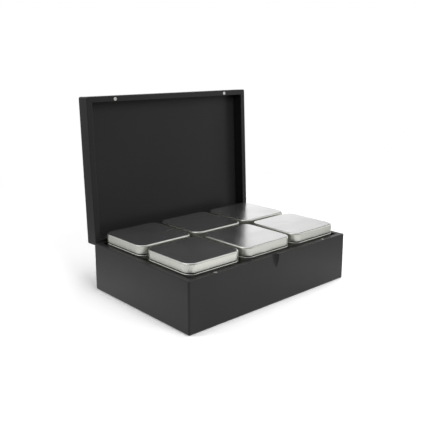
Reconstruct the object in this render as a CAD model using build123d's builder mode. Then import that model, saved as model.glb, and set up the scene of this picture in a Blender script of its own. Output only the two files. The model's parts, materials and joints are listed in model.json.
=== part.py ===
from build123d import *
from math import radians, tan
import os

# Tea canister organizer: a black lacquered box with a hinged lid, holding six square tins.
# Millimetres. The origin is the centre of the underside, +X runs along the front from left to
# right, +Y points to the back and +Z up. The lid is modelled standing open against its stop.

# Box boards
lid_height = 21.5
board = 8
panel = 4
rabbet = 4
panel_gap = 0.05
corner_radius = 2.5
rim_round = 0.8
foot_round = 2

# Lid line and stop
lid_open_angle = 92.5
stop_slack = 0.6
parting_gap = 0.2

# Press-in hinges
hinge_from_side = 50
hinge_length = 24
knuckle_radius = 1.75
knuckle_gap = 0.2
pin_radius = 0.75
pin_gap = 0.05
middle_knuckle = 9.6
leaf_thickness = 1
leaf_depth = 10
leaf_gap = 0.06
relief_gap = 0.25
barb_count = 3
barb_pitch = 2.6
barb_depth = 0.8

# Closing magnets
magnet_radius = 2.5
magnet_height = 3
magnet_gap = 0.05
magnet_sink = 0.05
magnet_round = 0.25
magnet_from_side = 44.3
magnet_from_front = 4.4

# Finger notch in the front wall
notch_radius = 6.75
notch_depth = 5
notch_height = 16

# Dividers between the columns of tins
divider = 4
divider_height = 46
divider_groove = 2
divider_gap = 0.1

# Square tins
tin_columns = ("left", "middle", "right")
tin_rows = ("front", "back")
tin_width = 86.3
tin_height = 77
tin_corner = 12.5
sheet = 0.5
skirt_height = 11.3
lid_edge_radius = 2
lid_gap = 0.15
seat_gap = 0.3
bead_height = 2.3
bead_below_skirt = 1.2
bead_round = 1.1
mouth_height = 1.4
mouth_depth = 1.2
mouth_round = 1
seam_height = 2.8
seam_gap = 0.05
bottom_recess = 2

# Room round the tins, which sets the size of the box
tin_side_gap = 1.05
tin_divider_gap = 1.25
tin_front_gap = 2.5
tin_row_gap = 7.4
tin_headroom = 2.7

# Sizes that follow from the ones above
column_pitch = tin_width + 2 * tin_divider_gap + divider
row_pitch = tin_width + tin_row_gap
inner_width = (len(tin_columns) - 1) * column_pitch + tin_width + 2 * tin_side_gap
inner_depth = (len(tin_rows) - 1) * row_pitch + tin_width + 2 * tin_front_gap
box_width = inner_width + 2 * board
box_depth = inner_depth + 2 * board
floor_top = panel
base_height = floor_top + tin_height + tin_headroom + panel - lid_height - parting_gap
hinge_y = box_depth / 2 - board / 2
hinge_z = base_height + parting_gap / 2
bevel_slope = tan(radians((lid_open_angle + stop_slack) / 2))
hinge_places = (hinge_from_side - box_width / 2, box_width / 2 - hinge_from_side)
magnet_places = (magnet_from_side - box_width / 2, box_width / 2 - magnet_from_side)
neck_width = tin_width - 2 * (sheet + lid_gap)
mouth_top = tin_height - sheet - seat_gap
bead_top = tin_height - skirt_height - bead_below_skirt

# The lid's own plane: its closed place on the base, swung back about the hinge line
base_plane = Plane.XY
swing_back = Pos(0, hinge_y, hinge_z) * Rot(-lid_open_angle, 0, 0)
lid_plane = Plane(swing_back * Pos(0, -hinge_y, parting_gap / 2))


class Tray:
    """One half of the box: where its rim and hinge line are, and which way its walls run from them."""

    def __init__(self, plane, height, rim, panel_low, into):
        self.plane = plane
        self.height = height
        self.rim = rim
        self.panel_low = panel_low
        self.into = into
        self.hinge = rim - into * parting_gap / 2

    def section(self, x):
        """The plane across the box at x, drawn in the tray's depth and height."""
        origin = self.plane.origin + self.plane.x_dir * x
        return Plane(origin=origin, x_dir=self.plane.y_dir, z_dir=self.plane.x_dir)

    def elevation(self, y):
        """The upright plane at y, drawn in the tray's width and height."""
        origin = self.plane.origin + self.plane.y_dir * y
        return Plane(origin=origin, x_dir=self.plane.x_dir, z_dir=-self.plane.y_dir)


base = Tray(base_plane, base_height, rim=base_height, panel_low=0, into=-1)
lid = Tray(lid_plane, lid_height, rim=0, panel_low=lid_height - panel, into=1)


def finish(piece, name):
    piece.part.label = name
    export_step(piece.part, f"parts/{name}.step")


def wall_ring(tray):
    """The four walls of a tray in one, before the mitres part them."""
    up = Axis((0, 0, 0), tray.plane.z_dir)
    pocket_length = hinge_length + 2 * relief_gap
    leaf_reach = knuckle_radius + relief_gap + leaf_depth + relief_gap
    with BuildPart() as ring:
        with BuildSketch(tray.plane):
            RectangleRounded(box_width, box_depth, corner_radius)
            Rectangle(inner_width, inner_depth, mode=Mode.SUBTRACT)
        extrude(amount=tray.height)
        panel_end, rim_end = (0, -1) if tray.into < 0 else (-1, 0)
        panel_face = faces().filter_by(up).sort_by(up)[panel_end]
        fillet(panel_face.outer_wire().edges(), radius=foot_round)
        rim_face = faces().filter_by(up).sort_by(up)[rim_end]
        fillet(rim_face.edges(), radius=rim_round)
        with BuildSketch(tray.plane.offset(tray.panel_low)):
            Rectangle(inner_width + 2 * rabbet, inner_depth + 2 * rabbet)
        extrude(amount=panel, mode=Mode.SUBTRACT)
        # The bevel behind the hinge line, on which the open lid rests
        with BuildSketch(tray.section(0)):
            Polygon(
                (hinge_y, tray.hinge),
                (hinge_y + board, tray.hinge),
                (hinge_y + board, tray.hinge + tray.into * board * bevel_slope),
                align=None,
            )
        extrude(amount=box_width, both=True, mode=Mode.SUBTRACT)
        # Room for each barrel at the top of the bevel, and the slot that its leaf is pressed into
        for x in hinge_places:
            with BuildSketch(tray.section(x)):
                with Locations((hinge_y, tray.hinge)):
                    Circle(knuckle_radius + relief_gap)
                with Locations((hinge_y, tray.hinge + tray.into * leaf_reach / 2)):
                    Rectangle(leaf_thickness + 2 * leaf_gap, leaf_reach)
            extrude(amount=pocket_length / 2, both=True, mode=Mode.SUBTRACT)
        # Bores for the magnets
        with BuildSketch(tray.plane.offset(tray.rim)):
            with Locations(*[(x, magnet_from_front - box_depth / 2) for x in magnet_places]):
                Circle(magnet_radius + magnet_gap)
        extrude(amount=tray.into * (magnet_sink + magnet_height), mode=Mode.SUBTRACT)
    return ring


def mitred_wall(ring, tray, side):
    """One board of the ring, cut free along the two 45 degree mitres at its ends."""
    half_width = box_width / 2
    half_depth = box_depth / 2
    across, along = (half_depth, half_width) if side in ("front", "back") else (half_width, half_depth)
    outside = board
    inside = 2 * board
    turn = {"front": 0, "right": 90, "back": 180, "left": 270}[side]
    with BuildPart() as wall:
        add(ring)
        with BuildSketch(tray.plane):
            with Locations(Location((0, 0, 0), (0, 0, turn))):
                Polygon(
                    (-along - outside, -across - outside),
                    (along + outside, -across - outside),
                    (along - inside, -across + inside),
                    (-along + inside, -across + inside),
                    align=None,
                )
        extrude(amount=tray.height, mode=Mode.INTERSECT)
    return wall


def box_panel(tray):
    """The floor or the lid's panel, lying in the rabbets of the walls."""
    with BuildPart() as thin_board:
        with BuildSketch(tray.plane.offset(tray.panel_low)):
            Rectangle(inner_width + 2 * (rabbet - panel_gap), inner_depth + 2 * (rabbet - panel_gap))
        extrude(amount=panel)
    return thin_board


def hinge_leaf(tray, x, spans):
    """A barbed leaf with its knuckles, given as spans along the hinge line from the middle."""
    knuckle_reach = knuckle_radius + relief_gap
    with BuildPart() as leaf:
        for start, end in spans:
            with BuildSketch(tray.section(x + start)):
                with Locations((hinge_y, tray.hinge)):
                    Circle(knuckle_radius)
                with Locations((hinge_y, tray.hinge + tray.into * knuckle_reach / 2)):
                    Rectangle(leaf_thickness, knuckle_reach)
            extrude(amount=end - start)
        with BuildSketch(tray.elevation(hinge_y)):
            with Locations((x, tray.hinge + tray.into * (knuckle_reach + leaf_depth / 2))):
                Rectangle(hinge_length, leaf_depth)
            for end in (-1, 1):
                for barb in range(barb_count):
                    tip = knuckle_reach + leaf_depth - barb * barb_pitch
                    Polygon(
                        (x + end * hinge_length / 2, tray.hinge + tray.into * tip),
                        (x + end * (hinge_length / 2 - barb_depth), tray.hinge + tray.into * tip),
                        (x + end * hinge_length / 2, tray.hinge + tray.into * (tip - barb_pitch)),
                        align=None,
                        mode=Mode.SUBTRACT,
                    )
        extrude(amount=leaf_thickness / 2, both=True)
        with BuildSketch(tray.section(x)):
            with Locations((hinge_y, tray.hinge)):
                Circle(pin_radius + pin_gap)
        extrude(amount=hinge_length, both=True, mode=Mode.SUBTRACT)
    return leaf


def hinge_pin(x):
    with BuildPart() as pin:
        with BuildSketch(base.section(x)):
            with Locations((hinge_y, hinge_z)):
                Circle(pin_radius)
        extrude(amount=hinge_length / 2, both=True)
    return pin


def magnet(tray, x):
    with BuildPart() as disc:
        with BuildSketch(tray.plane.offset(tray.rim + tray.into * magnet_sink)):
            with Locations((x, magnet_from_front - box_depth / 2)):
                Circle(magnet_radius)
        extrude(amount=tray.into * magnet_height)
        fillet(edges().filter_by(GeomType.CIRCLE), radius=magnet_round)
    return disc


def tin_outline(size, mode=Mode.ADD):
    """A square of this size whose corners keep the same centres as the tin's own."""
    RectangleRounded(size, size, tin_corner - (tin_width - size) / 2, mode=mode)


def tin_ring(plane, outer, inner):
    """The profile of a band that runs round a tin, between two of its outlines."""
    with BuildSketch(plane) as band:
        tin_outline(outer)
        tin_outline(inner, mode=Mode.SUBTRACT)
    return band.sketch


def tin_body(plane):
    """The wrapped side of a tin, with the bead under its lid and a rolled mouth."""
    bead_low = bead_top - bead_height
    wall_low = sheet + seam_gap
    with BuildPart() as body:
        extrude(tin_ring(plane.offset(bead_low), tin_width, neck_width - 2 * sheet), amount=bead_height)
        bead_ends = faces().filter_by(Axis.Z).sort_by(Axis.Z)
        bead_edges = bead_ends[0].outer_wire().edges() + bead_ends[-1].outer_wire().edges()
        fillet(bead_edges, radius=bead_round)
        mouth_inner = neck_width - 2 * mouth_depth
        mouth_plane = plane.offset(mouth_top - mouth_height)
        extrude(tin_ring(mouth_plane, neck_width, mouth_inner), amount=mouth_height)
        mouth_face = faces().filter_by(Axis.Z).sort_by(Axis.Z)[-1]
        fillet(mouth_face.outer_wire().edges(), radius=mouth_round)
        wall_height = mouth_top - mouth_round - wall_low
        extrude(tin_ring(plane.offset(wall_low), neck_width, neck_width - 2 * sheet), amount=wall_height)
    return body


def tin_bottom(plane):
    """The tin's bottom: a recessed plate whose edge is folded round the foot of the side."""
    seam_outer = neck_width + 2 * (seam_gap + sheet)
    seam_inner = neck_width - 2 * (sheet + seam_gap)
    with BuildPart() as bottom:
        extrude(tin_ring(plane, seam_outer, seam_inner - 2 * sheet), amount=sheet)
        extrude(tin_ring(plane, seam_outer, seam_outer - 2 * sheet), amount=seam_height)
        extrude(tin_ring(plane, seam_inner, seam_inner - 2 * sheet), amount=bottom_recess + sheet)
        with BuildSketch(plane.offset(bottom_recess)):
            tin_outline(seam_inner)
        extrude(amount=sheet)
    return bottom


def tin_lid(plane):
    """The slip lid: a flat top with a softly rounded edge and a straight skirt."""
    with BuildPart() as cap:
        with BuildSketch(plane.offset(tin_height - skirt_height)):
            tin_outline(tin_width)
        extrude(amount=skirt_height)
        fillet(faces().sort_by(Axis.Z)[-1].edges(), radius=lid_edge_radius)
        offset(amount=-sheet, openings=faces().sort_by(Axis.Z)[0])
    return cap


# Base: four mitred walls with the finger notch and the grooves for the dividers
with BuildPart() as base_ring:
    add(wall_ring(base).part)
    notch_plane = Plane(
        origin=(0, -box_depth / 2 + notch_depth - notch_radius, base_height),
        x_dir=(1, 0, 0),
        z_dir=(0, notch_depth, notch_height),
    )
    with BuildSketch(notch_plane):
        Circle(notch_radius)
    extrude(amount=2 * notch_height, both=True, mode=Mode.SUBTRACT)
    with BuildSketch(base_plane.offset(floor_top)):
        with GridLocations(column_pitch, 0, len(tin_columns) - 1, 1):
            Rectangle(divider + 2 * divider_gap, inner_depth + 2 * divider_groove)
    extrude(amount=divider_height + divider_gap, mode=Mode.SUBTRACT)

for side in ("front", "back", "left", "right"):
    base_wall = mitred_wall(base_ring.part, base, side)
    finish(base_wall, f"base_{side}_wall")

base_floor = box_panel(base)
finish(base_floor, "base_floor")

# Dividers between the columns
for number in range(len(tin_columns) - 1):
    divider_x = (number - (len(tin_columns) - 2) / 2) * column_pitch
    with BuildPart() as divider_board:
        with BuildSketch(Plane(origin=(divider_x, 0, floor_top))):
            Rectangle(divider, inner_depth + 2 * (divider_groove - divider_gap))
        extrude(amount=divider_height)
        top_edges = edges().filter_by(Axis.Y).group_by(Axis.Z)[-1]
        fillet(top_edges, radius=rim_round)
    finish(divider_board, "divider_left" if divider_x < 0 else "divider_right")

# Lid: four mitred rails round a panel
lid_ring = wall_ring(lid)

for side in ("front", "back", "left", "right"):
    lid_rail = mitred_wall(lid_ring.part, lid, side)
    finish(lid_rail, f"lid_{side}_rail")

lid_panel = box_panel(lid)
finish(lid_panel, "lid_panel")

# Hinges: the base leaf has the two outer knuckles, the lid leaf the middle one
outer_knuckle_start = middle_knuckle / 2 + knuckle_gap
for hinge_x in hinge_places:
    hand = "left" if hinge_x < 0 else "right"
    outer_spans = ((-hinge_length / 2, -outer_knuckle_start), (outer_knuckle_start, hinge_length / 2))
    base_leaf = hinge_leaf(base, hinge_x, outer_spans)
    finish(base_leaf, f"hinge_{hand}_base_leaf")
    lid_leaf = hinge_leaf(lid, hinge_x, ((-middle_knuckle / 2, middle_knuckle / 2),))
    finish(lid_leaf, f"hinge_{hand}_lid_leaf")
    finish(hinge_pin(hinge_x), f"hinge_{hand}_pin")

# Magnets: two in each front edge, facing each other when the lid is shut
for magnet_x in magnet_places:
    hand = "left" if magnet_x < 0 else "right"
    finish(magnet(base, magnet_x), f"magnet_base_{hand}")
    finish(magnet(lid, magnet_x), f"magnet_lid_{hand}")

# Tins: two in each column, one behind the other
for column, column_name in enumerate(tin_columns):
    for row, row_name in enumerate(tin_rows):
        tin_x = (column - (len(tin_columns) - 1) / 2) * column_pitch
        tin_y = (row - (len(tin_rows) - 1) / 2) * row_pitch
        tin_plane = Plane(origin=(tin_x, tin_y, floor_top))
        tin_name = f"tin_{row_name}_{column_name}"
        finish(tin_body(tin_plane), f"{tin_name}_body")
        finish(tin_bottom(tin_plane), f"{tin_name}_bottom")
        finish(tin_lid(tin_plane), f"{tin_name}_lid")
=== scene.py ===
import json
from math import radians

import bpy
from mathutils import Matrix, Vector


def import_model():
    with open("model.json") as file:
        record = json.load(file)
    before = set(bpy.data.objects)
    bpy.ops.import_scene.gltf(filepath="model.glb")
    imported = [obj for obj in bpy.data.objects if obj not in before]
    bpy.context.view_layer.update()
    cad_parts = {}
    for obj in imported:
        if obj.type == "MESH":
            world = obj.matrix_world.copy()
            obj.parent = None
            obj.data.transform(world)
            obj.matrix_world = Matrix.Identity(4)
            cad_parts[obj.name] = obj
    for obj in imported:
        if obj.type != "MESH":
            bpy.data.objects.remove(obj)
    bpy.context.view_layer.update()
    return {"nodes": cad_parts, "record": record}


# A black lacquered box with a hinged lid and six square tins, on a white studio floor. Metres.

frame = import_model()
nodes = frame["nodes"]

# The photograph's camera
camera_place = (-0.5611, -0.6021, 0.3129)
camera_turn = 41.924
camera_tilt = 11.938
lens_pixels = 612.31
image_pixels = 423
optical_centre_row = 187.12
sensor_width = 36.0

# Brightness of the surroundings, where 1 is white
backdrop_seen = 1.0
floor_seen_share = 0.03
floor_bounce = 0.30
floor_mirrored_under = 0.60
floor_mirrored_pool = 0.90
floor_mirrored_near = 0.12
floor_mirrored_far = 0.42
world_fill = 0.11
world_front = 0.46
world_front_right = 1.25
world_front_high = 0.15
world_front_high_right = 1.15
world_back = 1.44
world_back_low = 0.97
world_back_left = 0.56
world_high = 0.12
world_high_left = 1.45
world_top = 1.30

# Where the mirrored surroundings change: the start and end of each step along X, Y or Z of the
# direction that is mirrored
front_right_step = (0.56, 0.78)
front_high_right_step = (0.40, 0.58)
front_high_step = (0.45, 0.60)
back_left_step = (-0.10, 0.35)
back_low_step = (0.50, 0.75)
front_to_back_step = (-0.35, 0.45)
top_step = (0.64, 0.76)
high_front_step = (-0.35, -0.05)
high_left_step = (-0.45, -0.15)
high_step = (0.34, 0.50)

# The floor's shadow ground, round the box
floor_half = 2.5
floor_drop = 0.0002
shadow_ground = 0.30
ground_end = 0.85

# The bright pool round the box's front, seen only in the gloss
pool_centre = (-0.02, -0.05, 0)
pool_start = 0.10
pool_full = 0.20
pool_end = 0.47

# The stretch that holds nearly all of a noise's values
noise_start = 0.3
noise_end = 0.7

# Lacquer: grains to the metre of its clouds, gloss, orange peel and pores, and the relief's depth
lacquer_specular = 0.27
cloud_grains = 9
drift_grains = 38
peel_grains = 420
pore_grains = 1900
peel_depth = 0.00003
peel_strength = 0.35
pore_depth = 0.00001
pore_strength = 0.25

# Tinplate: its brushed grain, and how tops and side skirts are told from the other faces
tin_metallic = 0.966
tin_anisotropy = 0.2
grain_along = 9
grain_across = 900
grain_detail = 5
grain_roughness = 0.75
grain_stretch = (0.40, 0.70)
grain_share = 0.22
grain_depth = 0.000012
grain_strength = 0.3
tin_cloud_grains = 24
side_facing = (0.35, 0.65)
top_facing = (0.5, 0.9)
# Tops get a darker, greyer tone than the side skirts, chosen by which way a face points: painted
# shade on the tops
top_dark = (0.60, 0.60, 0.60)
top_light = (0.66, 0.66, 0.66)
side_dark = (0.69, 0.695, 0.64)
side_light = (0.77, 0.776, 0.715)
grain_tint = (0.50, 0.50, 0.48)
side_roughness = (0.32, 0.40)
top_roughness = (0.20, 0.28)

# The groove above a tin's bead, painted darker as the shade that falls in it
groove_low = 0.0684
groove_high = 0.0700
groove_edge = 0.0001
groove_shade_tint = (0.06, 0.06, 0.055)

# Nickel plate
plate_cloud_grains = 160
haze_grains = 700
haze_depth = 0.00001
haze_strength = 0.3


def even(grains):
    """The same number of grains along X, Y and Z."""
    return (grains, grains, grains)


class Graph:
    """The node tree of a material or world: adds nodes, joins them and works out numbers."""

    def __init__(self, made):
        made.use_nodes = True
        self.made = made
        self.tree = made.node_tree
        self.tree.nodes.clear()

    def node(self, kind, **settings):
        added = self.tree.nodes.new(kind)
        for setting, value in settings.items():
            setattr(added, setting, value)
        return added

    def join(self, start, end):
        self.tree.links.new(start, end)

    def axes(self, vector):
        """The outputs X, Y and Z of a vector."""
        split = self.node("ShaderNodeSeparateXYZ")
        self.join(vector, split.inputs["Vector"])
        return split.outputs

    def combined(self, operation, first, second):
        """Two numbers added or multiplied."""
        result = self.node("ShaderNodeMath", operation=operation)
        self.join(first, result.inputs[0])
        self.join(second, result.inputs[1])
        return result.outputs["Value"]

    def distance(self, place, centre):
        apart = self.node("ShaderNodeVectorMath", operation="DISTANCE")
        self.join(place, apart.inputs[0])
        apart.inputs[1].default_value = centre
        return apart.outputs["Value"]

    def ranged(self, value, low, high, stretch=(0.0, 1.0), smooth=False):
        """The value's stretch, from its start to its end, laid out from low to high."""
        laid_out = self.node("ShaderNodeMapRange")
        if smooth:
            laid_out.interpolation_type = "SMOOTHSTEP"
        start, end = stretch
        limits = {"From Min": start, "From Max": end, "To Min": low, "To Max": high}
        for socket, number in limits.items():
            laid_out.inputs[socket].default_value = number
        self.join(value, laid_out.inputs["Value"])
        return laid_out.outputs["Result"]

    def mixed(self, share, first, second, kind="VALUE"):
        """Two numbers mixed by a share, or two colours where the kind is RGBA."""
        mix = self.node("ShaderNodeMix", data_type="FLOAT" if kind == "VALUE" else kind)
        self.join(share, mix.inputs["Factor"])
        for name, given in (("A", first), ("B", second)):
            place = next(s for s in mix.inputs if s.name == name and s.type == kind)
            if isinstance(given, bpy.types.NodeSocket):
                self.join(given, place)
            else:
                place.default_value = given
        return next(s for s in mix.outputs if s.type == kind)


class Surface(Graph):
    """A material with its shader in place, and the outputs for where a point is and faces."""

    def __init__(self, name, **constants):
        super().__init__(bpy.data.materials.new(name))
        self.shader = self.node("ShaderNodeBsdfPrincipled")
        for socket, value in constants.items():
            self.shader.inputs[socket.replace("_", " ")].default_value = value
        output = self.node("ShaderNodeOutputMaterial")
        self.join(self.shader.outputs["BSDF"], output.inputs["Surface"])
        coordinates = self.node("ShaderNodeTexCoord")
        self.place = coordinates.outputs["Object"]
        self.facing = coordinates.outputs["Normal"]

    def noise(self, grains, detail, roughness=0.5, shift=(0.0, 0.0, 0.0)):
        """Noise from 0 to 1, with its own number of grains to the metre along X, Y and Z."""
        mapping = self.node("ShaderNodeMapping")
        mapping.inputs["Location"].default_value = shift
        mapping.inputs["Scale"].default_value = grains
        self.join(self.place, mapping.inputs["Vector"])
        texture = self.node("ShaderNodeTexNoise")
        texture.inputs["Scale"].default_value = 1.0
        texture.inputs["Detail"].default_value = detail
        texture.inputs["Roughness"].default_value = roughness
        self.join(mapping.outputs["Vector"], texture.inputs["Vector"])
        return texture.outputs["Fac"]

    def spread(self, noise, low, high):
        """A noise laid out from low to high."""
        return self.ranged(noise, low, high, (noise_start, noise_end))

    def blend(self, share, first, second):
        """Two colours mixed by a share; a plain colour may stand for an output."""
        colours = [(*c, 1.0) if isinstance(c, tuple) else c for c in (first, second)]
        return self.mixed(share, *colours, kind="RGBA")

    def bump(self, height, depth, strength, under=None):
        """Small relief, depth metres high, over the relief under it."""
        relief = self.node("ShaderNodeBump")
        relief.inputs["Strength"].default_value = strength
        relief.inputs["Distance"].default_value = depth
        self.join(height, relief.inputs["Height"])
        if under is not None:
            self.join(under, relief.inputs["Normal"])
        return relief.outputs["Normal"]

    def finished(self, colour, roughness, relief):
        """The material, with these three outputs joined to its shader."""
        self.join(colour, self.shader.inputs["Base Color"])
        self.join(roughness, self.shader.inputs["Roughness"])
        self.join(relief, self.shader.inputs["Normal"])
        return self.made


def lacquer(name, dark, light, glossy, dull):
    """Sprayed satin black: faint clouds of colour, orange peel, and a roughness that drifts."""
    paint = Surface(name, Specular_IOR_Level=lacquer_specular)
    clouds = paint.noise(even(cloud_grains), detail=2)
    drift = paint.noise(even(drift_grains), detail=4, shift=(3, 1, 7))
    peel = paint.noise(even(peel_grains), detail=2, shift=(5, 5, 5))
    pores = paint.noise(even(pore_grains), detail=1, shift=(1, 8, 2))
    soft = paint.bump(peel, peel_depth, peel_strength)
    return paint.finished(
        colour=paint.blend(paint.spread(clouds, 0, 1), dark, light),
        roughness=paint.spread(drift, glossy, dull),
        relief=paint.bump(pores, pore_depth, pore_strength, under=soft),
    )


def tinplate():
    """Varnished tinplate, brushed from left to right on tops and fronts and down the side skirts."""
    metal = Surface("tinplate", Metallic=tin_metallic, Anisotropic=tin_anisotropy)
    facing = metal.axes(metal.facing)
    sideways = metal.combined("MULTIPLY", facing["X"], facing["X"])
    on_side = metal.ranged(sideways, 0, 1, side_facing)
    on_top = metal.ranged(facing["Z"], 0, 1, top_facing)

    fine = {"detail": grain_detail, "roughness": grain_roughness}
    lying = metal.noise((grain_along, grain_across, grain_across), **fine)
    hanging = metal.noise((grain_along, grain_across, grain_along), **fine)
    grain = metal.blend(on_side, lying, hanging)

    share = metal.spread(metal.noise(even(tin_cloud_grains), detail=3, shift=(2, 6, 4)), 0, 1)
    top = metal.blend(share, top_dark, top_light)
    side = metal.blend(share, side_dark, side_light)
    # The tone follows which way a face points: tops darker and greyer than the skirts, painted shade
    tone = metal.blend(on_top, side, top)
    brushed = metal.blend(metal.ranged(grain, 0, grain_share, grain_stretch), tone, grain_tint)

    # A dark band on the tin body in the groove above the bead: painted shade
    height = metal.axes(metal.place)["Z"]
    above = metal.ranged(height, 0, 1, (groove_low, groove_low + groove_edge))
    below = metal.ranged(height, 1, 0, (groove_high - groove_edge, groove_high))
    shaded_groove = metal.combined("MULTIPLY", above, below)

    side_gloss = metal.spread(grain, *side_roughness)
    top_gloss = metal.spread(grain, *top_roughness)
    return metal.finished(
        colour=metal.blend(shaded_groove, brushed, groove_shade_tint),
        roughness=metal.mixed(on_top, side_gloss, top_gloss),
        relief=metal.bump(grain, grain_depth, grain_strength),
    )


def plated(name, dark, light, glossy, dull):
    """Nickel plate with faint clouds of colour and a haze from handling."""
    plate = Surface(name, Metallic=1.0)
    clouds = plate.noise(even(plate_cloud_grains), detail=3)
    haze = plate.noise(even(haze_grains), detail=3, shift=(4, 2, 9))
    return plate.finished(
        colour=plate.blend(plate.spread(clouds, 0, 1), dark, light),
        roughness=plate.spread(haze, glossy, dull),
        relief=plate.bump(haze, haze_depth, haze_strength),
    )


finishes = {
    "box_lacquer": lacquer(
        "box_lacquer",
        dark=(0.0162, 0.0162, 0.0164),
        light=(0.0184, 0.0184, 0.0185),
        glossy=0.34,
        dull=0.38,
    ),
    "divider_board": lacquer(
        "divider_board",
        dark=(0.010, 0.010, 0.010),
        light=(0.016, 0.016, 0.016),
        glossy=0.52,
        dull=0.64,
    ),
    "tinplate": tinplate(),
    "hinge_steel": plated(
        "hinge_steel",
        dark=(0.50, 0.50, 0.49),
        light=(0.60, 0.60, 0.59),
        glossy=0.28,
        dull=0.40,
    ),
    "magnet_nickel": plated(
        "magnet_nickel",
        dark=(0.74, 0.73, 0.69),
        light=(0.84, 0.83, 0.79),
        glossy=0.34,
        dull=0.42,
    ),
}
for part in frame["record"]["subparts"]:
    mesh = nodes[part["node"]].data
    mesh.materials.clear()
    mesh.materials.append(finishes[part["material_slot"]])


def floor_paper():
    """White where it is seen beyond the shadow ground. Mirrored, it is a bright pool by the box."""
    paper = Graph(bpy.data.materials.new("floor_paper"))
    place = paper.node("ShaderNodeTexCoord").outputs["Object"]
    path = paper.node("ShaderNodeLightPath").outputs

    from_middle = paper.distance(place, (0, 0, 0))
    outward = paper.ranged(from_middle, 0, 1, (shadow_ground, ground_end), smooth=True)
    inward = paper.ranged(outward, 1, 0)

    white = paper.ranged(outward, floor_seen_share, backdrop_seen)
    seen = paper.combined("MULTIPLY", white, path["Is Camera Ray"])

    from_pool = paper.distance(place, pool_centre)
    under = floor_mirrored_under / floor_mirrored_pool
    rising = paper.ranged(from_pool, under, 1, (pool_start, pool_full))
    edge = (pool_full, pool_end)
    falling = paper.ranged(from_pool, floor_mirrored_pool, floor_mirrored_near, edge)
    pool = paper.combined("MULTIPLY", rising, falling)
    near = paper.combined("MULTIPLY", pool, inward)
    far = paper.ranged(outward, 0, floor_mirrored_far)
    around = paper.combined("ADD", near, far)
    mirrored = paper.combined("MULTIPLY", around, path["Is Glossy Ray"])

    light = paper.node("ShaderNodeEmission")
    paper.join(paper.combined("ADD", seen, mirrored), light.inputs["Strength"])
    matt = paper.node("ShaderNodeBsdfDiffuse")
    bounced = paper.ranged(path["Is Camera Ray"], floor_bounce, 1)
    paper.join(paper.combined("MULTIPLY", inward, bounced), matt.inputs["Color"])
    both = paper.node("ShaderNodeAddShader")
    paper.join(light.outputs["Emission"], both.inputs[0])
    paper.join(matt.outputs["BSDF"], both.inputs[1])
    output = paper.node("ShaderNodeOutputMaterial")
    paper.join(both.outputs["Shader"], output.inputs["Surface"])
    return paper.made


def floor():
    """A floor that keeps the box's shadow."""
    half = floor_half
    low = -floor_drop
    corners = [(-half, -half, low), (half, -half, low), (half, half, low), (-half, half, low)]
    mesh = bpy.data.meshes.new("floor")
    mesh.from_pydata(corners, [], [(0, 1, 2, 3)])
    ground = bpy.data.objects.new("floor", mesh)
    bpy.context.scene.collection.objects.link(ground)
    mesh.materials.append(floor_paper())


def world():
    """White where it is seen. Mirrored, it is a bright backdrop behind the box and a dim room in
    front, bright at its right, with a dark band above them that is bright at its left and top."""
    studio = Graph(bpy.data.worlds.new("studio"))
    path = studio.node("ShaderNodeLightPath").outputs
    direction = studio.axes(studio.node("ShaderNodeTexCoord").outputs["Generated"])

    def along(axis, step, low=0.0, high=1.0):
        """A smooth step along one axis of the direction."""
        return studio.ranged(direction[axis], low, high, step, smooth=True)

    horizon = along("X", front_right_step, world_front, world_front_right)
    above = along("X", front_high_right_step, world_front_high, world_front_high_right)
    front = studio.mixed(along("Z", front_high_step), horizon, above)
    behind = along("Y", back_low_step, world_back_low, world_back)
    back = studio.mixed(along("X", back_left_step), world_back_left, behind)
    low = studio.mixed(along("Y", front_to_back_step), front, back)
    overhead = along("Z", top_step, world_high, world_top)
    beside = studio.mixed(along("X", high_left_step), world_high_left, overhead)
    high = studio.mixed(along("Y", high_front_step), front, beside)
    mirrored = studio.mixed(along("Z", high_step), low, high)

    strength = studio.mixed(path["Is Glossy Ray"], world_fill, mirrored)
    for ray in ("Is Transmission Ray", "Is Camera Ray"):
        strength = studio.mixed(path[ray], strength, backdrop_seen)
    background = studio.node("ShaderNodeBackground")
    background.inputs["Color"].default_value = (1, 1, 1, 1)
    studio.join(strength, background.inputs["Strength"])
    output = studio.node("ShaderNodeOutputWorld")
    studio.join(background.outputs["Background"], output.inputs["Surface"])
    bpy.context.scene.world = studio.made


def softbox(name, place, size, power):
    """A square lamp aimed at the box's foot. Gloss mirrors the world instead of it."""
    lamp = bpy.data.lights.new(name, "AREA")
    lamp.size = size
    lamp.energy = power
    holder = bpy.data.objects.new(name, lamp)
    holder.location = place
    holder.rotation_euler = (-Vector(place)).to_track_quat("-Z", "Y").to_euler()
    holder.visible_glossy = False
    bpy.context.scene.collection.objects.link(holder)


def camera():
    """The photograph's own view: its optical axis meets the picture a little above the middle."""
    lens = bpy.data.cameras.new("camera")
    lens.sensor_width = sensor_width
    lens.lens = sensor_width * lens_pixels / image_pixels
    lens.shift_y = (optical_centre_row - image_pixels / 2) / image_pixels
    lens.clip_start = 0.01
    lens.clip_end = 200
    holder = bpy.data.objects.new("camera", lens)
    holder.location = camera_place
    holder.rotation_euler = (radians(90 - camera_tilt), 0, radians(-camera_turn))
    bpy.context.scene.collection.objects.link(holder)
    bpy.context.scene.camera = holder


floor()
world()
softbox("front", place=(0, -1.6, 1.2), size=1.2, power=28)
softbox("right", place=(1.6, 0, 1.2), size=1.2, power=24)
softbox("back_left", place=(-1.15, 1.15, 1.2), size=1.2, power=20)
softbox("overhead", place=(0, 0, 2.0), size=0.5, power=9)
camera()
bpy.context.scene.view_settings.view_transform = "Standard"
